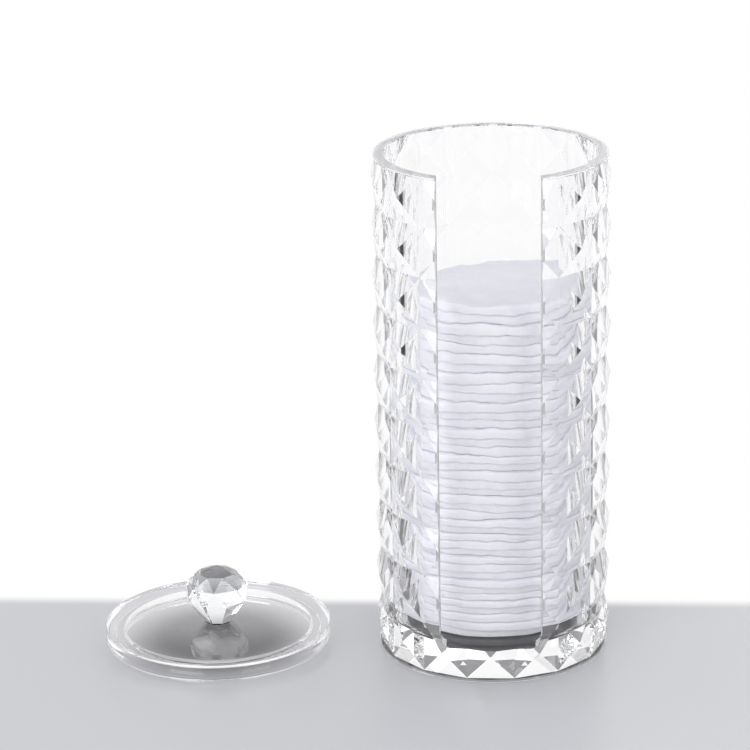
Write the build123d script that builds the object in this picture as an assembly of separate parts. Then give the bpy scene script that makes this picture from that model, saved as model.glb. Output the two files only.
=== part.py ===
from build123d import *
from math import cos, radians, sin
import os

# Round faceted jar for cotton pads, open at the top and slotted down the front, with its pads
# inside and its knobbed lid taken off and laid on the table to the left.
# Lengths are millimetres. The origin is the centre of the jar's foot on the table plane,
# +Z is up and the slot faces -Y.

# Jar: a fifteen-sided moulding whose every side is ten pyramids high, between a plain round foot
# and a plain round lip.
jar_height = 166.8
rim_radius = 37.5
wall_thickness = 3.5
valley_inset = 0.6
peak_rise = 1.2
well_radius = rim_radius - wall_thickness
valley_radius = rim_radius - valley_inset
peak_radius = rim_radius + peak_rise
column_count = 15
row_count = 10
foot_height = 1.0
lip_height = 0.8
floor_thickness = 11.2
floor_fillet = 2.5
rim_ease = 0.3

# Front slot, open at the rim and level with the well's floor.
slot_width = 32.4
slot_corner = 3.5

# Lid, lying beside the jar on its plug ring.
lid_x = -91.2
lid_y = -4.9
lid_inset = 0.2
lid_radius = rim_radius - lid_inset
lid_top = 7.6
plate_thickness = 3.0
flange_bottom = 1.2
flange_chamfer = 1.3
plug_clearance = 0.4
plug_wall = 2.6
plug_radius = well_radius - plug_clearance
lid_round = 0.4

# Knob, a cut crystal on a short neck that is sunk into it. Each ring is (radius, height above
# the lid, half step).
knob_sides = 8
neck_radius = 4.2
neck_height = 0.5
neck_sunk = 0.5
knob_rings = [
    (4.8, neck_height, 1),
    (7.7, 5.2, 0),
    (10.4, 8.6, 1),
    (10.4, 13.5, 0),
    (6.3, 17.3, 1),
    (2.3, 18.7, 0),
]

# Cotton pads, piled on the well's floor. The lower ones are pressed flatter.
pad_count = 40
pad_room = 5.5
pad_radius = well_radius - pad_room
pad_pitch_low = 2.45
pad_pitch_rise = 1.1
pad_gap = 0.3
pad_crown = 0.25
pad_sway = 0.9
pad_drift = 2.4


def ring_point(radius, turn, z):
    """A point at a turn, in degrees, from the slot's middle towards +X."""
    return Vector(radius * sin(radians(turn)), -radius * cos(radians(turn)), z)


def solid_from(polygons):
    """A closed solid from its flat faces."""
    faces = [Face(Wire.make_polygon(points, close=True)) for points in polygons]
    return Solid(Shell(faces))


def pyramid_cell(column, row):
    """The four flat faces of one pyramid of the jar's outside."""
    step = 360 / column_count
    rise = (jar_height - foot_height) / row_count
    left = step * (column - 0.5)
    right = step * (column + 0.5)
    low = foot_height + rise * row
    high = low + rise
    tip = ring_point(peak_radius, step * column, (low + high) / 2)
    corners = [
        ring_point(valley_radius, left, low),
        ring_point(valley_radius, right, low),
        ring_point(valley_radius, right, high),
        ring_point(valley_radius, left, high),
    ]
    return [[corners[i], corners[(i + 1) % 4], tip] for i in range(4)]


def jar_outside():
    """The faceted outside as a full solid, with its many-sided top and underside."""
    step = 360 / column_count
    turns = [step * (column + 0.5) for column in range(column_count)]
    polygons = []
    for row in range(row_count):
        for column in range(column_count):
            polygons += pyramid_cell(column, row)
    polygons.append([ring_point(valley_radius, turn, foot_height) for turn in turns])
    polygons.append([ring_point(valley_radius, turn, jar_height) for turn in turns])
    return solid_from(polygons)


def standing_cylinder(radius, low, high):
    """A cylinder on the Z axis from one height to another."""
    return Pos(0, 0, low) * Cylinder(radius, high - low, align=(Align.CENTER, Align.CENTER, Align.MIN))


def well_space():
    """The space inside the jar, rounded at the floor and eased at the rim."""
    rim_flare = well_radius + rim_ease
    above = jar_height + slot_corner
    fillet_turn = floor_fillet * sin(radians(45))
    corner = (well_radius - floor_fillet, floor_thickness + floor_fillet)
    outline = [
        Line((0, floor_thickness), (corner[0], floor_thickness)),
        ThreePointArc(
            (corner[0], floor_thickness),
            (corner[0] + fillet_turn, corner[1] - fillet_turn),
            (well_radius, corner[1]),
        ),
        Polyline(
            (well_radius, corner[1]),
            (well_radius, jar_height - rim_ease),
            (rim_flare, jar_height),
            (rim_flare, above),
            (0, above),
            (0, floor_thickness),
        ),
    ]
    return revolve(Plane.XZ * make_face(outline), Axis.Z)


def slot_space():
    """The space of the front slot, with its two lower corners rounded."""
    height = jar_height + slot_corner - floor_thickness
    middle = floor_thickness + height / 2
    block = Pos(0, -peak_radius, middle) * Box(slot_width, 2 * well_radius, height)
    corners = block.edges().filter_by(Axis.Y).group_by(Axis.Z)[0]
    return fillet(corners, slot_corner)


def faceted_jar():
    """Clear jar: foot, wall, lip and slot in one moulding."""
    foot = standing_cylinder(rim_radius, 0, foot_height)
    foot = chamfer(foot.edges().filter_by(GeomType.CIRCLE).group_by(Axis.Z)[0], rim_ease)
    lip = standing_cylinder(rim_radius, jar_height - lip_height, jar_height)
    lip = chamfer(lip.edges().filter_by(GeomType.CIRCLE).group_by(Axis.Z)[-1], rim_ease)
    return jar_outside() + foot + lip - well_space() - slot_space()


def lid_disc():
    """Clear lid: a flat plate, its thick flange and the plug ring that centres it in the jar."""
    plug_inside = plug_radius - plug_wall
    profile = make_face(Polyline(
        (0, lid_top - plate_thickness),
        (plug_inside, lid_top - plate_thickness),
        (plug_inside, 0),
        (plug_radius, 0),
        (plug_radius, flange_bottom),
        (lid_radius - flange_chamfer, flange_bottom),
        (lid_radius, flange_bottom + flange_chamfer),
        (lid_radius, lid_top),
        (0, lid_top),
        close=True,
    ))
    disc = revolve(Plane.XZ * profile, Axis.Z)
    disc = fillet(disc.edges().filter_by(GeomType.CIRCLE).group_by(Axis.Z)[-1], lid_round)
    return Pos(lid_x, lid_y, 0) * disc


def knob_ring(radius, height, half_step):
    """The corners of one ring of the knob."""
    step = 360 / knob_sides
    turns = [step * (side + half_step / 2) for side in range(knob_sides)]
    return [ring_point(radius, turn, height) for turn in turns]


def knob_band(low, high, low_leads):
    """The triangles between two rings whose corners are half a step apart."""
    triangles = []
    for side in range(knob_sides):
        after = (side + 1) % knob_sides
        if low_leads:
            triangles.append([low[side], low[after], high[after]])
            triangles.append([high[side], low[side], high[after]])
        else:
            triangles.append([low[side], low[after], high[side]])
            triangles.append([high[side], low[after], high[after]])
    return triangles


def lid_knob():
    """Cut-crystal knob with its short round neck."""
    rings = [knob_ring(*ring) for ring in knob_rings]
    polygons = [rings[0], rings[-1]]
    for index in range(len(rings) - 1):
        polygons += knob_band(rings[index], rings[index + 1], knob_rings[index][2] == 1)
    crystal = solid_from(polygons) + standing_cylinder(neck_radius, 0, neck_height + neck_sunk)
    return Pos(lid_x, lid_y, lid_top) * crystal


def pad_pitch(index):
    """Height that one pad takes up in the pile, its gap included."""
    return pad_pitch_low + pad_pitch_rise * (index / (pad_count - 1)) ** 2


def pad_place(index):
    """Where a pad's underside is centred. The pile sways, and drifts to +X at the top."""
    height = floor_thickness + pad_gap + sum(pad_pitch(below) for below in range(index))
    share = index / (pad_count - 1)
    x = pad_sway * sin(1.9 * index) + pad_drift * share ** 3
    y = pad_sway * cos(2.3 * index)
    return Pos(x, y, height)


def cotton_pad(index):
    """Round pad with a soft rounded edge and a slight crown."""
    height = pad_pitch(index) - pad_gap
    side = height - pad_crown
    inner = pad_radius - side / 2
    outline = [
        Line((0, 0), (inner, 0)),
        ThreePointArc((inner, 0), (pad_radius, side / 2), (inner, side)),
        Line((inner, side), (0, height)),
        Line((0, height), (0, 0)),
    ]
    return pad_place(index) * revolve(Plane.XZ * make_face(outline), Axis.Z)


def main():
    os.makedirs("parts", exist_ok=True)
    parts = {"faceted_jar": faceted_jar(), "lid_disc": lid_disc(), "lid_knob": lid_knob()}
    for index in range(pad_count):
        parts[f"cotton_pad_{index + 1:02d}"] = cotton_pad(index)
    for name, part in parts.items():
        export_step(part, f"parts/{name}.step")
    pile_top = floor_thickness + sum(pad_pitch(index) for index in range(pad_count))
    print(f"{len(parts)} parts, pile top {pile_top:.1f} mm")


main()
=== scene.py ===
# %% [markdown]
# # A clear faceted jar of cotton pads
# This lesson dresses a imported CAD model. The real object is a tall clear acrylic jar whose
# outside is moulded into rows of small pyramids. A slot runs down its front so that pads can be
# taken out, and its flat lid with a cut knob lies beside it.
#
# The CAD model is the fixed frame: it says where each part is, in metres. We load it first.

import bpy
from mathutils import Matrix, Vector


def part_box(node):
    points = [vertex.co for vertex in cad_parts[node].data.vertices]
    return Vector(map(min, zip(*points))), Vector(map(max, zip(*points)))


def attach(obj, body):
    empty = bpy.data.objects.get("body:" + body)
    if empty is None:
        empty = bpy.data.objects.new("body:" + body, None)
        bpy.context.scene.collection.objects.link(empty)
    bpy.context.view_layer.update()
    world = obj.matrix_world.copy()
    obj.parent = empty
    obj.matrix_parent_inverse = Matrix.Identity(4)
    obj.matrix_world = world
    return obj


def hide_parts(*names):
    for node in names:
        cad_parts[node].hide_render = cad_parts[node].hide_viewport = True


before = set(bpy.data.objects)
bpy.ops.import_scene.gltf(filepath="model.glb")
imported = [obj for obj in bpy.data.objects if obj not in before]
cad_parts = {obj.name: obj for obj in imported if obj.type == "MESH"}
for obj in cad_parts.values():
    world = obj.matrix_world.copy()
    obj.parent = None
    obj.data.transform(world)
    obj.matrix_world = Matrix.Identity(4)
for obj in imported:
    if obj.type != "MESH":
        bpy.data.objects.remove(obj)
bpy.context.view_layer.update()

# %% [markdown]
# ## Units
# The object's measures below are in millimetres, as a maker would write them. Blender works in
# metres, so each one is multiplied by MM where it goes into a mesh or a socket. The room's
# measures are in metres. One small helper puts a camera, a lamp or a mesh into the scene.

# %% Tools and units
from math import atan2, cos, pi, radians, sin, sqrt

import bmesh
import bpy
from mathutils import Matrix, Vector, noise

MM = 0.001


def new_object(name, data):
    """An object of a camera, a lamp or a mesh, linked to the scene."""
    thing = bpy.data.objects.new(name, data)
    bpy.context.scene.collection.objects.link(thing)
    return thing


print("one millimetre is", MM, "metres")

# %% [markdown]
# ## The camera
# A product shot like this is taken from well back with a long lens, so the jar's sides stay
# nearly parallel. The camera stands a metre in front of the jar and well above its rim, and
# looks down at it. A constraint could aim the camera at a point, but it would leave out the
# slight roll. We build its turn from three plain ones instead: down, to the side, and the roll.

# %% Camera
CAMERA_PLACE = Vector((0.0227, -1.0019, 0.4256))
CAMERA_DOWN = radians(71.61)
CAMERA_SIDE = radians(3.46)
CAMERA_ROLL = radians(-0.99)
FOCAL_LENGTH = 156.4
SENSOR_WIDTH = 36.0

lens = bpy.data.cameras.new("camera")
lens.lens = FOCAL_LENGTH
lens.sensor_width = SENSOR_WIDTH
camera = new_object("camera", lens)
camera.matrix_world = (
    Matrix.Translation(CAMERA_PLACE)
    @ Matrix.Rotation(CAMERA_SIDE, 4, "Z")
    @ Matrix.Rotation(CAMERA_DOWN, 4, "X")
    @ Matrix.Rotation(CAMERA_ROLL, 4, "Z")
)
bpy.context.scene.camera = camera
print("camera at", tuple(round(x, 3) for x in CAMERA_PLACE))

# %% [markdown]
# ## Node helpers
# Each finish below is a small tree of shader nodes. Built by hand, a tree takes a line for every
# node, value and link. These helpers add a node with all its sockets set, and pass back the
# socket that the next node needs, so that a finish reads like a sentence.


# %% Nodes and sums
def set_socket(tree, socket, value):
    """Links a socket to another one, or sets its value."""
    if isinstance(value, bpy.types.NodeSocket):
        tree.links.new(value, socket)
    else:
        socket.default_value = value


def add_node(tree, kind, **inputs):
    """A node of that kind with its inputs set. An underscore stands for a space in their names."""
    node = tree.nodes.new(kind)
    for name, value in inputs.items():
        set_socket(tree, node.inputs[name.replace("_", " ")], value)
    return node


def calculate(tree, operation, *values):
    """The result of a sum on numbers or sockets."""
    node = tree.nodes.new("ShaderNodeMath")
    node.operation = operation
    for socket, value in zip(node.inputs, values):
        set_socket(tree, socket, value)
    return node.outputs[0]


def ranged(tree, value, from_low, from_high, to_low, to_high, curve="LINEAR"):
    """A value carried from one range to another, and held at the ends of both."""
    ramp = add_node(tree, "ShaderNodeMapRange", Value=value, From_Min=from_low, From_Max=from_high)
    ramp.inputs["To Min"].default_value = to_low
    ramp.inputs["To Max"].default_value = to_high
    ramp.interpolation_type = curve
    return ramp.outputs["Result"]


print("nodes, sums and ranges can be made")


# %% Materials and mixes
def new_material(name):
    """An empty node material and its output node."""
    material = bpy.data.materials.new(name)
    material.use_nodes = True
    material.node_tree.nodes.clear()
    return material, material.node_tree.nodes.new("ShaderNodeOutputMaterial")


def mixed_shaders(tree, share, first, second):
    """The first shader where the share is 0, and the second where it is 1."""
    mix = add_node(tree, "ShaderNodeMixShader", Fac=share)
    tree.links.new(first.outputs[0], mix.inputs[1])
    tree.links.new(second.outputs[0], mix.inputs[2])
    return mix.outputs["Shader"]


def mixed_colours(tree, share, first, second):
    """The first colour where the share is 0, and the second where it is 1."""
    mix = add_node(tree, "ShaderNodeMix", Factor=share)
    mix.data_type = "RGBA"
    mix.inputs["A"].default_value = first
    mix.inputs["B"].default_value = second
    return mix.outputs["Result"]


print("materials and mixes can be made")

# %% [markdown]
# A real surface is never the same all over. Noise in the piece's own coordinates gives it small
# changes that stay with the piece when it moves. Blender's noise keeps close to its middle
# value, so we stretch the part of its range that it really uses.

# %% Noise
NOISE_LOW = 0.3
NOISE_HIGH = 0.7


def object_place(tree):
    """The place on the piece, in metres from the origin."""
    return tree.nodes.new("ShaderNodeTexCoord").outputs["Object"]


def noise_map(tree, scale, detail, low, high):
    """Noise mapped to a range. A larger scale makes it finer."""
    place = object_place(tree)
    cloud = add_node(tree, "ShaderNodeTexNoise", Vector=place, Scale=scale, Detail=detail)
    return ranged(tree, cloud.outputs["Fac"], NOISE_LOW, NOISE_HIGH, low, high)


print("noise is stretched from", NOISE_LOW, "to", NOISE_HIGH)

# %% [markdown]
# ## The sawn faces
# The rim and the two sides of the slot are sawn, not moulded, so they stay a little frosted. The
# slot's sides also get a painted shade, a dark tint that makes them look darker than the faces
# beside them. The sawn faces could have a material of their own, but we would have to find them
# again after the cuts. It is simpler to ask how far a point is from the plane of the saw, which
# needs no list of faces.

# %% Where the jar is sawn
HEIGHT = 166.8
SLOT_WIDTH = 32.4
SAW_REACH = 0.02


def on_cut(tree, distance):
    """1 on a cut face and 0 away from it, from the distance to the cut."""
    return ranged(tree, distance, 0.0, SAW_REACH * MM, 1.0, 0.0)


def sawn_faces(tree):
    """1 on the rim's face, and 1 on the slot's two sides."""
    axes = add_node(tree, "ShaderNodeSeparateXYZ", Vector=object_place(tree))
    below_rim = calculate(tree, "SUBTRACT", HEIGHT * MM, axes.outputs["Z"])
    from_middle = calculate(tree, "ABSOLUTE", axes.outputs["X"])
    past_slot = calculate(tree, "SUBTRACT", from_middle, SLOT_WIDTH / 2 * MM)
    beside_slot = calculate(tree, "ABSOLUTE", past_slot)
    return on_cut(tree, below_rim), on_cut(tree, beside_slot)


print("sawn at the height of", HEIGHT, "mm and", SLOT_WIDTH / 2, "mm to each side")

# %% [markdown]
# ## Clear acrylic
# Acrylic bends light by an index of 1.49. It is never perfect: a moulded face waves a little,
# and handling leaves faint wear that shows only in reflections. The bump and the roughness
# below come from noise at the size of those flaws. Left as it is, clear plastic in Cycles casts
# a dark shadow, because the light that it bends is slow and noisy to trace. A mix by Light Path
# lets the lamps' shadow rays pass, so the pads inside are lit and the jar's shadow stays light.
# A plastic is given below as its index and its tint, and its waves are in millimetres.

# %% Acrylic and crystal finishes
WAVE_SCALE = 55
WEAR_SCALE = 240
CUT_FROST = 0.35
# Painted shade: the dark tint given to the slot's sawn sides.
SLOT_PAINTED_SHADE = (0.10, 0.10, 0.12, 1)
SHADOW_TINT = (0.93, 0.94, 0.95, 1)


def clear_plastic(name, index, tint, wave, wear, sawn=False):
    """A clear moulded plastic with slight waves, faint wear and, where it is sawn, frosted cuts
    with a painted shade on the slot's sides.
    """
    material, output = new_material(name)
    tree = material.node_tree
    waves = noise_map(tree, WAVE_SCALE, detail=1, low=0, high=1)
    bump = add_node(tree, "ShaderNodeBump", Height=waves, Strength=1.0, Distance=wave * MM)
    body = add_node(tree, "ShaderNodeBsdfPrincipled", Base_Color=tint, IOR=index)
    body.inputs["Transmission Weight"].default_value = 1.0
    roughness = noise_map(tree, WEAR_SCALE, detail=4, low=0, high=wear)
    if sawn:
        rim_cut, slot_cut = sawn_faces(tree)
        either_cut = calculate(tree, "MAXIMUM", rim_cut, slot_cut)
        frost = calculate(tree, "MULTIPLY", either_cut, CUT_FROST)
        roughness = calculate(tree, "ADD", roughness, frost)
        # Painted shade: the slot's sides are tinted dark here.
        slot_shade_tint = mixed_colours(tree, slot_cut, tint, SLOT_PAINTED_SHADE)
        tree.links.new(slot_shade_tint, body.inputs["Base Color"])
    tree.links.new(roughness, body.inputs["Roughness"])
    tree.links.new(bump.outputs["Normal"], body.inputs["Normal"])
    open_to_lamps = add_node(tree, "ShaderNodeBsdfTransparent", Color=SHADOW_TINT)
    shadow_ray = tree.nodes.new("ShaderNodeLightPath").outputs["Is Shadow Ray"]
    tree.links.new(mixed_shaders(tree, shadow_ray, body, open_to_lamps), output.inputs["Surface"])
    return material


ACRYLIC = (1.49, (0.988, 0.988, 0.995, 1))
CRYSTAL = (1.52, (0.98, 0.985, 1.0, 1))

jar_acrylic = clear_plastic("jar_acrylic", *ACRYLIC, wave=0.003, wear=0.015, sawn=True)
lid_acrylic = clear_plastic("lid_acrylic", *ACRYLIC, wave=0.004, wear=0.02)
knob_crystal = clear_plastic("knob_crystal", *CRYSTAL, wave=0.001, wear=0.01)
print("clear finishes:", jar_acrylic.name, lid_acrylic.name, knob_crystal.name)

# %% [markdown]
# ## Piece helpers
# A piece is built as a bmesh and becomes an object at the origin, with its place in its mesh.
# It is shaded smooth where it curves and sharp where its faces meet at a corner. It could be
# placed and moved by hand, but the CAD model already knows where each part goes. So it rides on
# one of the model's bodies and stands for one of its nodes, and moves as that node does.


# %% From a bmesh to a piece
def mesh_object(bm, name):
    """An object at the origin with the bmesh as its mesh. The bmesh is used up."""
    mesh = bpy.data.meshes.new(name)
    bm.to_mesh(mesh)
    bm.free()
    return new_object(name, mesh)


def finish_piece(bm, name, body, material, stands_for, sharp_angle=5.0):
    """A piece of a bmesh: smooth where it curves, and sharp over sharp_angle degrees."""
    piece = mesh_object(bm, name)
    piece.data.materials.clear()
    piece.data.materials.append(material)
    piece.data.shade_smooth()
    piece.data.set_sharp_from_angle(angle=radians(sharp_angle))
    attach(piece, body)
    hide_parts(stands_for)
    return piece


print("pieces can be made")


# %% Bevels
CUT = 1
ROUND = 6


def sharp_edges(bm, least):
    """The edges whose two faces meet at more than that angle, in radians."""
    return [edge for edge in bm.edges if edge.is_manifold and edge.calc_face_angle() > least]


def bevelled(bm, edges, offset, segments):
    """Bevels edges of a bmesh by an offset in millimetres, as a flat cut or a round."""
    bmesh.ops.bevel(
        bm,
        geom=edges,
        offset=offset * MM,
        offset_type="OFFSET",
        affect="EDGES",
        segments=segments,
        profile=0.5,
        material=-1,
    )


print("segments of a cut:", CUT, "and of a round:", ROUND)

# %% [markdown]
# ## The faceted jar
# The mould's outside is a fifteen-sided tube, ten panels high, and each panel is a low pyramid.
# The pyramids could be set one by one, but their corners would have to be worked out and merged.
# A circle with fifteen corners, extruded up ten times, gives the panels. The poke operator then
# raises a tip in the middle of each one, which makes exactly such a pyramid.

# %% Panels
COLUMNS = 15
ROWS = 10
VALLEY_RADIUS = 36.9
FOOT_HEIGHT = 1.0

panel_rise = (HEIGHT - FOOT_HEIGHT) / ROWS
jar = bmesh.new()
foot_plane = Matrix.Translation((0, 0, FOOT_HEIGHT * MM))
bmesh.ops.create_circle(jar, segments=COLUMNS, radius=VALLEY_RADIUS * MM, matrix=foot_plane)
ring = jar.edges[:]
for row in range(ROWS):
    grown = bmesh.ops.extrude_edge_only(jar, edges=ring)["geom"]
    risen = {part for part in grown if isinstance(part, bmesh.types.BMVert)}
    bmesh.ops.translate(jar, vec=(0, 0, panel_rise * MM), verts=list(risen))
    new_edges = [part for part in grown if isinstance(part, bmesh.types.BMEdge)]
    ring = [edge for edge in new_edges if set(edge.verts) <= risen]
print("panels:", len(jar.faces), "each", round(panel_rise, 2), "mm high")

# %% [markdown]
# The panels must face outwards before they are poked, or the pyramids would point into the jar.
# The open ends are then closed, and a narrow bevel on the ridges catches the light as a moulded
# edge does. A ridge is an edge between two triangles that do not lie flat beside each other.

# %% Pyramids and ridges
PEAK_RADIUS = 38.7
RIDGE_BEVEL = 0.1
RIDGE_LEAST = radians(4)

panel_middle = VALLEY_RADIUS * cos(pi / COLUMNS)
bmesh.ops.recalc_face_normals(jar, faces=jar.faces)
if jar.faces[0].normal.dot(jar.faces[0].calc_center_median()) < 0:
    bmesh.ops.reverse_faces(jar, faces=jar.faces)
bmesh.ops.poke(jar, faces=jar.faces[:], offset=(PEAK_RADIUS - panel_middle) * MM)
bmesh.ops.holes_fill(jar, edges=[edge for edge in jar.edges if edge.is_boundary], sides=0)
bmesh.ops.recalc_face_normals(jar, faces=jar.faces)
ridges = [
    edge
    for edge in sharp_edges(jar, RIDGE_LEAST)
    if all(len(face.verts) == 3 for face in edge.link_faces)
]
bevelled(jar, ridges, RIDGE_BEVEL, CUT)
print("outside:", len(jar.faces), "faces,", len(ridges), "ridges")

# %% [markdown]
# The rest of the jar is turned: a plain round foot, a thin round lip and a round well. A profile
# drawn from the axis outwards and back, and spun a full turn, makes each of them as a closed
# solid, as a lathe would. A ready cylinder would do for the lip, but not for the well's rounded
# floor, so one helper makes them all.

# %% Turned shapes
WALL_STEPS = 384
POLE_MERGE = 0.0001


def spun(profile, steps=WALL_STEPS, unit=MM):
    """A closed round solid from (radius, height) points, the first and last on the axis."""
    bm = bmesh.new()
    points = [bm.verts.new((radius * unit, 0, rise * unit)) for radius, rise in profile]
    edges = [bm.edges.new(pair) for pair in zip(points, points[1:])]
    bmesh.ops.spin(
        bm,
        geom=points + edges,
        axis=(0, 0, 1),
        cent=(0, 0, 0),
        angle=2 * pi,
        steps=steps,
        use_merge=True,
    )
    bmesh.ops.remove_doubles(bm, verts=bm.verts, dist=POLE_MERGE * unit)
    bmesh.ops.recalc_face_normals(bm, faces=bm.faces)
    return bm


print("a full turn has", WALL_STEPS, "steps")

# %% [markdown]
# The lip and the foot are bands as wide as the rim, so they cover the ends of the pyramids. The
# outer edge of each is rounded by a fraction of a millimetre, as a polished edge is.

# %% Lip and foot
LIP_HEIGHT = 0.8
RIM_RADIUS = 37.5
RIM_EASE = 0.3
SAME_HEIGHT = 0.001


def plain_band(low, high, eased):
    """A round disc from one height to another, with its edge at the eased height rounded."""
    band = spun([(0, low), (RIM_RADIUS, low), (RIM_RADIUS, high), (0, high)])
    corner = [
        edge
        for edge in sharp_edges(band, radians(60))
        if all(abs(point.co.z - eased * MM) < SAME_HEIGHT * MM for point in edge.verts)
    ]
    bevelled(band, corner, RIM_EASE, ROUND)
    return band


lip = plain_band(HEIGHT - LIP_HEIGHT, HEIGHT, HEIGHT)
foot = plain_band(0, FOOT_HEIGHT, 0)
print("lip and foot:", len(lip.faces), "and", len(foot.faces), "faces")

# %% [markdown]
# The well is the round space inside. Its floor meets its wall in a fillet, and its rim flares a
# little, where the sharp corner was taken off. It stands out above the jar, so that the cut
# leaves no skin over the mouth.

# %% Well
WELL_RADIUS = 34.0
WELL_FLOOR = 11.2
WELL_FILLET = 2.5
FILLET_STEPS = 20
ABOVE_RIM = 5

well_profile = [(0, WELL_FLOOR)]
for step in range(FILLET_STEPS + 1):
    turn = radians(90 * step / FILLET_STEPS)
    across = WELL_RADIUS - WELL_FILLET + WELL_FILLET * sin(turn)
    up = WELL_FLOOR + WELL_FILLET - WELL_FILLET * cos(turn)
    well_profile.append((across, up))
well_profile += [
    (WELL_RADIUS, HEIGHT - RIM_EASE),
    (WELL_RADIUS + RIM_EASE, HEIGHT),
    (WELL_RADIUS + RIM_EASE, HEIGHT + ABOVE_RIM),
    (0, HEIGHT + ABOVE_RIM),
]
well = spun(well_profile)
print("well:", len(well.faces), "faces, floor at", WELL_FLOOR, "mm")

# %% [markdown]
# The slot is where fingers take the pads out. It is open at the rim and level with the well's
# floor, and its two lower corners are rounded. A cube scaled to the slot's size, with two of its
# edges bevelled, makes the space to cut away.

# %% Slot
SLOT_CORNER = 3.5
SLOT_SEGMENTS = 20
SLOT_ABOVE = 10


def at_slot_foot(edge):
    """Whether an edge of the slot's box is at its foot and runs from front to back."""
    start, end = [point.co for point in edge.verts]
    return max(start.z, end.z) < (WELL_FLOOR + 1) * MM and abs(start.y - end.y) > MM


slot = bmesh.new()
bmesh.ops.create_cube(slot, size=MM)
slot_height = HEIGHT - WELL_FLOOR + SLOT_ABOVE
slot_middle = (0, -PEAK_RADIUS * MM, (WELL_FLOOR + slot_height / 2) * MM)
bmesh.ops.scale(slot, vec=(SLOT_WIDTH, 2 * WELL_RADIUS, slot_height), verts=slot.verts)
bmesh.ops.translate(slot, vec=slot_middle, verts=slot.verts)
slot_corners = [edge for edge in slot.edges if at_slot_foot(edge)]
bevelled(slot, slot_corners, SLOT_CORNER, SLOT_SEGMENTS)
print("slot:", SLOT_WIDTH, "mm wide, corners rounded:", len(slot_corners))

# %% [markdown]
# Booleans join the lip and the foot to the faceted outside, and cut the well and the slot from
# it. The fast solver can leave cracks where faces lie on each other, as they do here at the
# floor of the slot, so we use the exact one, which also keeps each facet flat. An edge that
# isn't shared by two faces would be a crack, so we count those.

# %% One closed jar
JOIN_MERGE = 0.0002


def cut_or_join(bm, other, operation):
    """The bmesh with another one cut from it or joined to it. Both are used up."""
    parts = [mesh_object(part, "part") for part in (bm, other)]
    boolean = parts[0].modifiers.new("boolean", "BOOLEAN")
    boolean.object = parts[1]
    boolean.operation = operation
    boolean.solver = "EXACT"
    evaluated = parts[0].evaluated_get(bpy.context.evaluated_depsgraph_get())
    result = bmesh.new()
    result.from_mesh(evaluated.to_mesh())
    evaluated.to_mesh_clear()
    for part in parts:
        bpy.data.objects.remove(part)
    bmesh.ops.remove_doubles(result, verts=result.verts, dist=JOIN_MERGE * MM)
    return result


jar = cut_or_join(jar, lip, "UNION")
jar = cut_or_join(jar, foot, "UNION")
jar = cut_or_join(jar, well, "DIFFERENCE")
jar = cut_or_join(jar, slot, "DIFFERENCE")
open_edges = sum(not edge.is_manifold for edge in jar.edges)
finish_piece(jar, "jar", "jar", jar_acrylic, "faceted_jar")
print("jar: open edges", open_edges)

# %% [markdown]
# ## The lid
# The lid is a turned part: a thick clear plate whose rim drops to a chamfer, with a ring under
# it that plugs the jar's mouth. A stack of cylinders would leave faces inside the clear plastic,
# and they would show. One profile spun round the axis has none, and a small round on every
# corner gives the bright lines that polished acrylic shows.

# %% Lid
LID_X = -91.2
LID_Y = -4.9
LID_RADIUS = 37.3
LID_TOP = 7.6
PLATE_THICKNESS = 3.0
PLUG_INSIDE = 31.0
PLUG_RADIUS = 33.6
FLANGE_BOTTOM = 1.2
FLANGE_CHAMFER = 1.3
LID_ROUND = 0.35
LID_CORNER = 0.3

lid = spun([
    (0, LID_TOP - PLATE_THICKNESS),
    (PLUG_INSIDE, LID_TOP - PLATE_THICKNESS),
    (PLUG_INSIDE, 0),
    (PLUG_RADIUS, 0),
    (PLUG_RADIUS, FLANGE_BOTTOM),
    (LID_RADIUS - FLANGE_CHAMFER, FLANGE_BOTTOM),
    (LID_RADIUS, FLANGE_BOTTOM + FLANGE_CHAMFER),
    (LID_RADIUS, LID_TOP),
    (0, LID_TOP),
])
bevelled(lid, sharp_edges(lid, LID_CORNER), LID_ROUND, ROUND)
bmesh.ops.translate(lid, vec=(LID_X * MM, LID_Y * MM, 0), verts=lid.verts)
finish_piece(lid, "lid", "lid", lid_acrylic, "lid_disc", sharp_angle=20)
print("lid spun about", LID_X, LID_Y)

# %% [markdown]
# ## The knob
# The knob is cut like a gem: a small table on top, a crown, a girdle and a long pavilion, each
# ring of corners turned half a step from the next. Its faces could be listed one by one, but the
# convex hull of the corners is the cut stone itself, so the operator finds the flat facets for
# us. Each ring below is its radius, its height above the lid, and whether it is turned.

# %% Knob
KNOB_SIDES = 8
KNOB_RINGS = [
    (4.8, 0.5, 1),
    (7.7, 5.2, 0),
    (10.4, 8.6, 1),
    (10.4, 13.5, 0),
    (6.3, 17.3, 1),
    (2.3, 18.7, 0),
]
FACET_BEVEL = 0.08
FACET_LEAST = 0.1
FACET_FLAT = radians(2)

knob = bmesh.new()
for radius, rise, turned in KNOB_RINGS:
    turn = Matrix.Rotation(pi * turned / KNOB_SIDES, 4, "Z")
    place = turn @ Matrix.Translation((0, 0, rise * MM))
    bmesh.ops.create_circle(knob, segments=KNOB_SIDES, radius=radius * MM, matrix=place)
hull = bmesh.ops.convex_hull(knob, input=knob.verts)
spare = hull["geom_interior"] + hull["geom_unused"]
spare_points = [part for part in spare if isinstance(part, bmesh.types.BMVert)]
bmesh.ops.delete(knob, geom=spare_points, context="VERTS")
bmesh.ops.dissolve_limit(knob, angle_limit=FACET_FLAT, verts=knob.verts, edges=knob.edges)
bmesh.ops.recalc_face_normals(knob, faces=knob.faces)
bevelled(knob, sharp_edges(knob, FACET_LEAST), FACET_BEVEL, CUT)
print("cut stone:", len(knob.faces), "faces")

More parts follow.
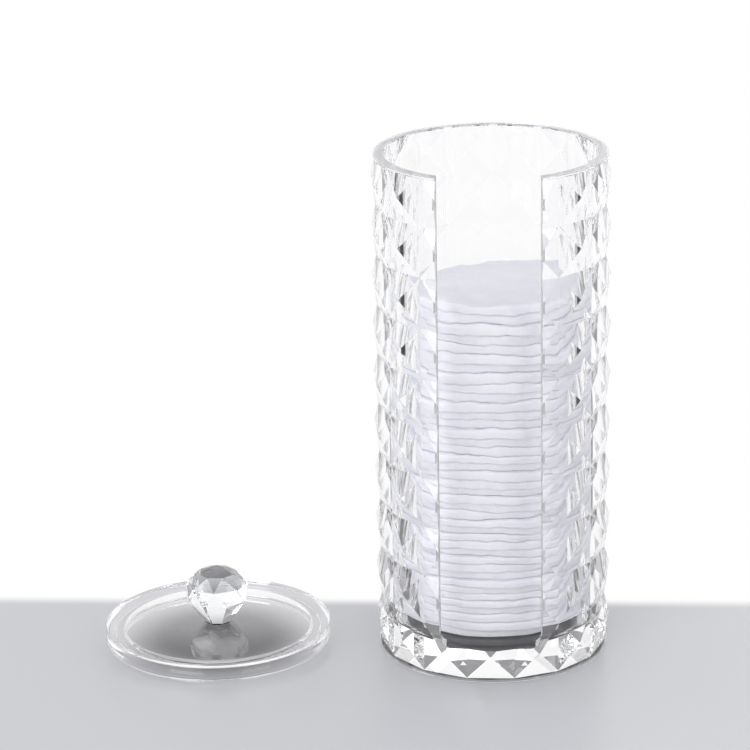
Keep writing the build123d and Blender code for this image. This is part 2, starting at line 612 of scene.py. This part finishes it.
# %% [markdown]
# A short turned neck carries the stone. It is joined to it, so that no face is left between them
# inside the clear plastic.

# %% Knob's neck
NECK_RADIUS = 4.2
NECK_HEIGHT = 1.0
NECK_STEPS = 96

neck_profile = [(0, 0), (NECK_RADIUS, 0), (NECK_RADIUS, NECK_HEIGHT), (0, NECK_HEIGHT)]
knob = cut_or_join(knob, spun(neck_profile, NECK_STEPS), "UNION")
bmesh.ops.translate(knob, vec=(LID_X * MM, LID_Y * MM, LID_TOP * MM), verts=knob.verts)
facets = len(knob.faces)
finish_piece(knob, "knob", "lid", knob_crystal, "lid_knob")
print("knob facets:", facets)

# %% [markdown]
# ## Cotton
# A pad is bonded cotton wool, matt and soft. Hair strands could show its fibres, but there would
# be far too many of them in forty pads. Light enters the wool a little, so the finish has some
# subsurface light and a sheen of fibres. Two noises make the bump, clumps of wool and single
# fibres, and a third varies the white by a few percent.

# %% Cotton finish
CLUMP_SCALE = 420
CLUMP_DEPTH = 0.25
FIBRE_SCALE = 2600
FIBRE_DEPTH = 0.06
SHADE_SCALE = 120
COTTON_DARK = (0.83, 0.83, 0.90, 1)
COTTON_PALE = (0.885, 0.88, 0.945, 1)
LIGHT_DEPTH = 2.5

cotton, cotton_output = new_material("cotton")
tree = cotton.node_tree
clumps = noise_map(tree, CLUMP_SCALE, detail=3, low=0, high=1)
clump_bump = add_node(tree, "ShaderNodeBump", Height=clumps, Strength=0.6)
clump_bump.inputs["Distance"].default_value = CLUMP_DEPTH * MM
fibres = noise_map(tree, FIBRE_SCALE, detail=4, low=0, high=1)
fibre_bump = add_node(tree, "ShaderNodeBump", Height=fibres, Strength=0.5)
fibre_bump.inputs["Distance"].default_value = FIBRE_DEPTH * MM
tree.links.new(clump_bump.outputs["Normal"], fibre_bump.inputs["Normal"])
shade = noise_map(tree, SHADE_SCALE, detail=3, low=0, high=1)
white = mixed_colours(tree, shade, COTTON_DARK, COTTON_PALE)
wool = add_node(
    tree,
    "ShaderNodeBsdfPrincipled",
    Base_Color=white,
    Normal=fibre_bump.outputs["Normal"],
    Roughness=0.95,
    Specular_IOR_Level=0.2,
    Subsurface_Weight=0.6,
    Subsurface_Radius=(1.0, 1.0, 1.1),
    Subsurface_Scale=LIGHT_DEPTH * MM,
    Sheen_Weight=0.3,
    Sheen_Roughness=0.4,
)
tree.links.new(wool.outputs["BSDF"], cotton_output.inputs["Surface"])
print("cotton finish:", len(tree.nodes), "nodes")

# %% [markdown]
# ## The pads
# Forty pads lie in the jar. None is quite flat: each sags where the one below does. A cloth
# simulation of such a tight pile would take long and blur its layers, so the pads are shaped by
# sheets. A sheet is a wavy height field, and there is one between each pad and the next. It is
# the top of the pad under it and the underside of the pad over it, so the pile is close. Two
# pads follow their sheet at points of their own, and between those they can press into each
# other by up to 0.4 mm, which doesn't show in wool.

# %% Levels of the pile
PAD_COUNT = 40
PAD_NAMES = [f"cotton_pad_{index + 1:02d}" for index in range(PAD_COUNT)]

pad_boxes = [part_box(name) for name in PAD_NAMES]
levels = [low.z / MM for low, high in pad_boxes] + [pad_boxes[-1][1].z / MM]
PILE_FOOT = levels[0]
PILE_RISE = levels[-1] - levels[0]
print("sheets:", len(levels), "over", round(PILE_RISE, 1), "mm")

# %% [markdown]
# Three waves of different lengths make a sheet uneven, most of all towards the pads' edges. The
# pile is flat where it lies on the jar's floor, and its waves are full from a twelfth of the way
# up. It is looser at the top. The pads also arch a little behind the slot, where nothing holds
# them, and the topmost ones droop to the back and the left.

# %% Sheets between the pads
PAD_WAVES = [
    # height, (length across, along and up the pile), (shift across and along)
    (0.6, (15, 19, 7), (0, 0)),
    (0.42, (5, 7, 2.2), (31, 0)),
    (0.2, (2.1, 2.1, 1.4), (0, 17)),
]
PAD_REACH = 28
FLOOR_CALM = 12
TOP_LOOSENESS = 0.6
ARCH_HEIGHT = 0.9
ARCH_HALF = 15
DROOP_HEIGHT = 4.2
DROOP_TOWARDS = (-0.62, 0.78)
DROOP_START = 0.1


def slot_arch(share, x, y):
    """How far the pads arch up behind the slot. It fades out at the top of the pile."""
    towards_slot = max(0, -y / PAD_REACH) ** 2
    return ARCH_HEIGHT * towards_slot * max(-1, 1 - (x / ARCH_HALF) ** 2) * (1 - share ** 6)


def top_droop(share, x, y):
    """How far the topmost pads hang down at the back and the left."""
    towards = (DROOP_TOWARDS[0] * x + DROOP_TOWARDS[1] * y) / PAD_REACH
    return max(0, towards - DROOP_START) ** 2 * DROOP_HEIGHT * share ** 9


def sheet_height(level, x, y):
    """The height of the sheet between two pads over a point, in millimetres."""
    share = (level - PILE_FOOT) / PILE_RISE
    waves = 0
    for rise, (across, along, up), (shift_x, shift_y) in PAD_WAVES:
        waves += rise * noise.noise((x / across + shift_x, y / along + shift_y, level / up))
    edge = min(1, sqrt(x * x + y * y) / PAD_REACH)
    calm = min(1, share * FLOOR_CALM)
    loose = 1 + TOP_LOOSENESS * share
    return level + calm * (edge * loose * waves + slot_arch(share, x, y)) - top_droop(share, x, y)


middle_level = levels[PAD_COUNT // 2]
middle_height = sheet_height(middle_level, 0, -PAD_REACH)
print("middle sheet at the slot:", round(middle_height - middle_level, 2), "mm over its level")

# %% [markdown]
# No pad is quite round, and each has its own outline. The line between two pads comes from their
# rounded edges, and it fades in and out where the wool is pressed together.

# %% Outlines and the lines between pads
PAD_RADIUS = 28.5
OUTLINE_WAVES = [
    # depth, number of lobes, shift from pad to pad, first shift
    (0.9, 1.3, 1.7, 0),
    (0.4, 5, 2.9, 40),
    (0.16, 14, 4.1, 90),
]
GROOVE_LEAST = 0.12
GROOVE_MIDDLE = 0.7
GROOVE_CHANGE = 1.3
GROOVE_LOBES = 2.6
GROOVE_STEP = 3.1
GROOVE_FIRST = 7


def pad_outline(index, turn):
    """The pad's radius in one direction, in millimetres."""
    radius = PAD_RADIUS
    for depth, lobes, step, first in OUTLINE_WAVES:
        layer = index * step + first
        radius += depth * noise.noise((lobes * cos(turn), lobes * sin(turn), layer))
    return radius


def groove_depth(level, turn):
    """How deep the line between two pads is in one direction, as a share of the full depth."""
    layer = level * GROOVE_STEP + GROOVE_FIRST
    change = noise.noise((GROOVE_LOBES * cos(turn), GROOVE_LOBES * sin(turn), layer))
    return max(GROOVE_LEAST, GROOVE_MIDDLE + GROOVE_CHANGE * change)


front_radius = pad_outline(0, radians(-90))
print("lowest pad's radius at the slot:", round(front_radius, 2), "mm")

# %% [markdown]
# A pad starts as a spun disc of radius 1 and height 1, whose edge shows the two layers it is
# pressed from. Each of its points is then moved: outwards to the pad's own outline, and up or
# down to its share of the way from the sheet below to the sheet above.

# %% One pad
PAD_STEPS = 180
PAD_FACE = [0.2, 0.4, 0.6, 0.78, 0.9, 0.955, 0.982]
PAD_EDGE = [(0.994, 0.08), (1.0, 0.25), (0.995, 0.42), (0.999, 0.56), (1.0, 0.75), (0.994, 0.92)]
EDGE_START = 0.85
HALF_GAP = 0.03

pad_profile = [(0, 0)] + [(radius, 0) for radius in PAD_FACE]
pad_profile += PAD_EDGE
pad_profile += [(radius, 1) for radius in reversed(PAD_FACE)] + [(0, 1)]


def cotton_pad(index):
    """One pad, from its CAD solid's place and the sheets below and above it."""
    low, high = pad_boxes[index]
    centre = (low + high) / 2
    pad = spun(pad_profile, PAD_STEPS, 1)
    for point in pad.verts:
        x, y, share = point.co
        turn = atan2(y, x)
        reach = sqrt(x * x + y * y)
        radius = pad_outline(index, turn)
        if reach > EDGE_START:
            radius *= (1 - (1 - reach) * groove_depth(index + round(share), turn)) / reach
        x = x * radius + centre.x / MM
        y = y * radius + centre.y / MM
        under = sheet_height(levels[index], x, y) + HALF_GAP
        over = sheet_height(levels[index + 1], x, y) - HALF_GAP
        point.co = (x * MM, y * MM, (under + (over - under) * share) * MM)
    return pad


print("a pad's profile has", len(pad_profile), "points")

# %% [markdown]
# The pile moves as one body, and the topmost pad is a body of its own, so that it can be lifted
# off.

# %% The pile
for index, name in enumerate(PAD_NAMES):
    body = "top_pad" if index == PAD_COUNT - 1 else "pad_pile"
    short_name = f"pad_{index + 1:02d}"
    pad = cotton_pad(index)
    piece = finish_piece(pad, short_name, body, cotton, name, sharp_angle=60)
pile_top = PILE_FOOT + PILE_RISE
print("pads:", PAD_COUNT, "from", round(PILE_FOOT, 1), "to", round(pile_top, 1), "mm")

# %% [markdown]
# ## The floor
# Clear plastic shows only what it bends and mirrors, so the room matters as much as the lamps.
# The floor is plain pale grey under the object, and turns white along a straight soft edge
# behind it. Stronger lamps could make it white, but they would bleach the pads too. So the
# white is an emission that only camera, mirror and glass rays see. It doesn't light the object,
# and the grey part still takes the soft shadows.


# %% What each ray sees
def seen_by_eye(tree):
    """1 for camera, mirror and glass rays, and 0 for rays that bring light to matt things."""
    rays = tree.nodes.new("ShaderNodeLightPath").outputs
    mirror = calculate(tree, "MAXIMUM", rays["Is Camera Ray"], rays["Is Glossy Ray"])
    return calculate(tree, "MAXIMUM", mirror, rays["Is Transmission Ray"])


print("white can be kept from the lamps' light")

# %% Floor
FLOOR_SIZE = 3.0
FLOOR_DROP = 0.0002
FLOOR_GREY = (0.74, 0.745, 0.76, 1)
FLOOR_EDGE = (0.026, 0.035)

floor_finish, floor_output = new_material("floor")
tree = floor_finish.node_tree
matt = add_node(tree, "ShaderNodeBsdfPrincipled", Base_Color=FLOOR_GREY, Roughness=0.3)
white = add_node(tree, "ShaderNodeEmission", Strength=1.0)
depth = add_node(tree, "ShaderNodeSeparateXYZ", Vector=object_place(tree)).outputs["Y"]
behind = ranged(tree, depth, *FLOOR_EDGE, 0.0, 1.0, "SMOOTHSTEP")
share = calculate(tree, "MULTIPLY", seen_by_eye(tree), behind)
tree.links.new(mixed_shaders(tree, share, matt, white), floor_output.inputs["Surface"])

ground = bmesh.new()
bmesh.ops.create_grid(ground, x_segments=1, y_segments=1, size=FLOOR_SIZE)
bmesh.ops.translate(ground, vec=(0, 0, -FLOOR_DROP), verts=ground.verts)
floor = mesh_object(ground, "floor")
floor.data.materials.append(floor_finish)
print("floor turns white from", FLOOR_EDGE[0], "to", FLOOR_EDGE[1], "m behind the origin")

# %% [markdown]
# ## The room
# The world is the room round the object. A picture of a real studio could light it, but its
# shapes would show in the jar. So it is two plain backgrounds mixed by ray. Matt surfaces get
# an even, slightly cool light from all sides. The camera, mirrors and glass see a white sweep
# that darkens overhead, as a studio does above its lamps, and this gives the facets their greys.

# %% Room
ROOM_COLOUR = (0.96, 0.965, 1, 1)
ROOM_LIGHT = 0.63
SWEEP_TOP = (0.38, 0.50)
SWEEP_WHITE = 1.0
STUDIO_SHADE = 0.4

world = bpy.data.worlds.new("studio")
world.use_nodes = True
bpy.context.scene.world = world
tree = world.node_tree
tree.nodes.clear()
world_output = tree.nodes.new("ShaderNodeOutputWorld")
room = add_node(tree, "ShaderNodeBackground", Color=ROOM_COLOUR, Strength=ROOM_LIGHT)
aim = tree.nodes.new("ShaderNodeTexCoord").outputs["Generated"]
height = add_node(tree, "ShaderNodeSeparateXYZ", Vector=aim).outputs["Z"]
shade = ranged(tree, height, *SWEEP_TOP, SWEEP_WHITE, STUDIO_SHADE, "SMOOTHSTEP")
seen = add_node(tree, "ShaderNodeBackground", Color=(1, 1, 1, 1), Strength=shade)
tree.links.new(mixed_shaders(tree, seen_by_eye(tree), room, seen), world_output.inputs["Surface"])
print("room light", ROOM_LIGHT, "and shade overhead", STUDIO_SHADE)

# %% [markdown]
# ## Dark cards
# In a white room clear plastic almost vanishes. A photographer sets dark cards round it, and
# what the plastic bends of them draws its facets and edges. Real cards would also darken the
# floor and the pads. So ours lie on the floor, have a set shade, and are seen by glass rays
# alone. A card can pale from a centre to the shade of the floor, so that its edge doesn't show.

# %% Card helper
FLOOR_LOOK = 0.61
CARD_DROP = 0.0001
CARD_COLOUR = (1, 1, 1.05, 1)


def lay_card(card, name, shade, fade=None):
    """Lays a flat bmesh on the floor as a card. A fade has a centre, a start and an end."""
    bmesh.ops.translate(card, vec=(0, 0, -CARD_DROP), verts=card.verts)
    finish, output = new_material(name)
    tree = finish.node_tree
    strength = shade
    if fade:
        centre, start, end = fade
        away = tree.nodes.new("ShaderNodeVectorMath")
        away.operation = "DISTANCE"
        tree.links.new(object_place(tree), away.inputs[0])
        away.inputs[1].default_value = centre
        distance = away.outputs["Value"]
        strength = ranged(tree, distance, start, end, shade, FLOOR_LOOK, "SMOOTHSTEP")
    glow = add_node(tree, "ShaderNodeEmission", Color=CARD_COLOUR, Strength=strength)
    tree.links.new(glow.outputs["Emission"], output.inputs["Surface"])
    piece = mesh_object(card, name)
    piece.data.materials.append(finish)
    for kind in ("camera", "diffuse", "glossy", "shadow"):
        setattr(piece, f"visible_{kind}", False)


print("cards lie", CARD_DROP, "m under the object")

# %% [markdown]
# The cards at the sides are sectors of a ring. A short edge, turned to the first direction and
# spun to the last one, makes such a sector. The two darkest draw the columns at the jar's sides,
# and softer ones next to them keep the change from white to dark gradual.

# %% Cards at the sides
CARD_STEPS = 12
LEFT_CENTRE = (-0.04, 0, 0)
RIGHT_CENTRE = (0.04, 0, 0)


def wedge_card(name, centre, turns, reaches, shade):
    """A card shaped as a ring's sector, about a point on the floor. Turns go from +Y to +X."""
    from_turn, to_turn = turns
    card = bmesh.new()
    start = [card.verts.new((0, reach, 0)) for reach in reaches]
    edge = card.edges.new(start)
    first_turn = Matrix.Rotation(radians(-from_turn), 3, "Z")
    bmesh.ops.rotate(card, matrix=first_turn, verts=card.verts)
    bmesh.ops.spin(
        card,
        geom=start + [edge],
        axis=(0, 0, 1),
        cent=(0, 0, 0),
        angle=radians(from_turn - to_turn),
        steps=CARD_STEPS,
    )
    bmesh.ops.translate(card, vec=centre, verts=card.verts)
    lay_card(card, name, shade)


wedge_card("card_left", LEFT_CENTRE, turns=(-82, -66), reaches=(0.29, 0.65), shade=0.01)
wedge_card("card_right", RIGHT_CENTRE, turns=(66, 82), reaches=(0.19, 0.65), shade=0.01)
wedge_card("card_left_soft", LEFT_CENTRE, turns=(-66, -42), reaches=(0.30, 0.70), shade=0.38)
wedge_card("card_right_soft", RIGHT_CENTRE, turns=(42, 66), reaches=(0.26, 0.70), shade=0.28)
print("side cards: two dark and two soft")

# %% [markdown]
# Two round cards lie under the jar and under the lid. They are painted shadows, seen only through
# the plastic. The first is a painted contact shadow that darkens the thick foot. The second is a
# painted shadow that gives the lid its grey middle, and fades out towards the flange. A last,
# oblong card lies behind the jar, in the place that the lowest row of pyramids shows.

# %% Cards under the pieces and behind them
CARD_SIDES = 64
FOOT_SHADOW_CARD_RADIUS = 0.040
LID_SHADOW_CARD_RADIUS = 0.038
LID_SHADOW_FADE_START = 0.016
BACK_CARD_WIDTH = 0.10
BACK_CARD_DEPTH = 0.036
BACK_CARD_PLACE = (0, 0.058, 0)


def round_card(centre, radius):
    """A flat disc on the floor."""
    disc = bmesh.new()
    place = Matrix.Translation(centre)
    bmesh.ops.create_circle(disc, cap_ends=True, segments=CARD_SIDES, radius=radius, matrix=place)
    return disc


# Painted contact shadow under the jar's foot, seen only through the plastic.
lay_card(round_card((0, 0, 0), FOOT_SHADOW_CARD_RADIUS), "card_foot_painted_shadow", shade=0.05)

# Painted shadow under the lid and its knob: dark in the middle, fading to the floor's shade.
lid_middle = Vector((LID_X * MM, LID_Y * MM, 0))
lid_shadow_fade = (lid_middle, LID_SHADOW_FADE_START, LID_SHADOW_CARD_RADIUS)
lay_card(round_card(lid_middle, LID_SHADOW_CARD_RADIUS), "card_lid_painted_shadow", shade=0.15, fade=lid_shadow_fade)

back_card = bmesh.new()
bmesh.ops.create_grid(back_card, x_segments=1, y_segments=1, size=0.5)
bmesh.ops.scale(back_card, vec=(BACK_CARD_WIDTH, BACK_CARD_DEPTH, 1), verts=back_card.verts)
bmesh.ops.translate(back_card, vec=BACK_CARD_PLACE, verts=back_card.verts)
lay_card(back_card, "card_back", shade=0.3)
print("cards under the jar and the lid, and behind the jar")

# %% [markdown]
# ## Lamps
# Small lamps or a sun would draw hard shadows and bright specks. Large square lamps give soft
# shadows, as the soft boxes of a studio do. The key is on the left, a weaker fill on the right
# keeps the pads' shadow side pale, and a faint lamp at the back lights the top of the pile.

# %% Lamps
LAMP_AIM = Vector((0, 0, 0.08))


def soft_lamp(name, place, size, power):
    """A large square lamp turned to the middle of the jar."""
    light = bpy.data.lights.new(name, "AREA")
    light.size = size
    light.energy = power
    lamp = new_object(name, light)
    lamp.location = place
    lamp.rotation_euler = (LAMP_AIM - Vector(place)).to_track_quat("-Z", "Y").to_euler()


soft_lamp("key", (-0.75, -1.1, 0.55), size=0.9, power=7.2)
soft_lamp("fill", (0.9, -0.9, 0.4), size=0.8, power=3)
soft_lamp("back", (0.4, 1.2, 0.8), size=0.9, power=1.6)
print("lamps:", ", ".join(light.name for light in bpy.data.lights))

# %% [markdown]
# ## Light paths
# A ray that goes in and out of the facets turns many times. Where Cycles stops it too early the
# plastic turns dark, which first showed as grey stripes in the jar's wall. So we allow enough
# bounces, above all through glass. The Standard view shows colours as they are written.

# %% Light paths
cycles = bpy.context.scene.cycles
cycles.max_bounces = 36
cycles.transmission_bounces = 32
cycles.glossy_bounces = 18
cycles.transparent_max_bounces = 24
bpy.context.scene.view_settings.view_transform = "Standard"
print("bounces:", cycles.max_bounces, "through glass:", cycles.transmission_bounces)
